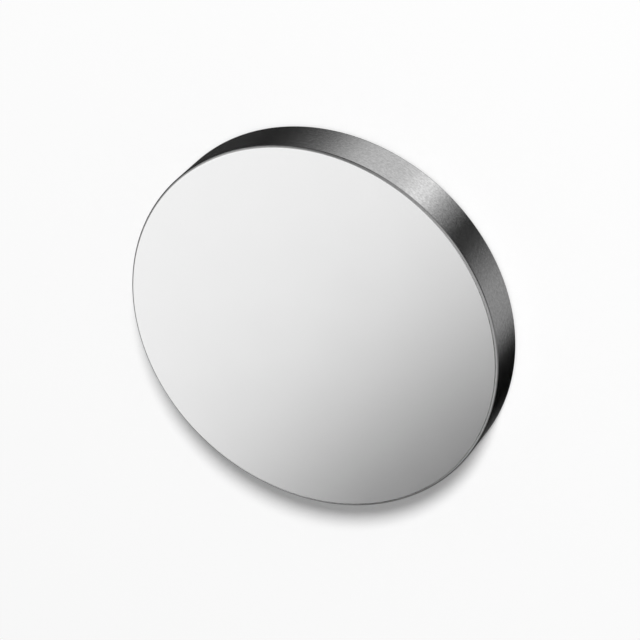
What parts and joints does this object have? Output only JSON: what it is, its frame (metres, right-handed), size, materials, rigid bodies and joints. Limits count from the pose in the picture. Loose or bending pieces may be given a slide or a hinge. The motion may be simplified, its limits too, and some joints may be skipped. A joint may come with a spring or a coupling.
{
  "type": "disc magnet",
  "caption": "Thin round permanent magnet with two flat pole faces, finely rounded edges and bright nickel plating.",
  "frame": {"origin": "centre of the lower pole face, on the surface that the disc lies on", "axes": "+Z along the disc's axis, out of the upper pole face; the disc is round, so X and Y are free"},
  "size_m": [0.008, 0.008, 0.001],
  "materials": {
    "nickel_plate": "bright nickel plating, smooth on the pole faces, finely grained on the rim and duller on the tumbled edges"
  },
  "bodies": {
    "root": {"disc_magnet": "nickel_plate"}
  },
  "joints": []
}
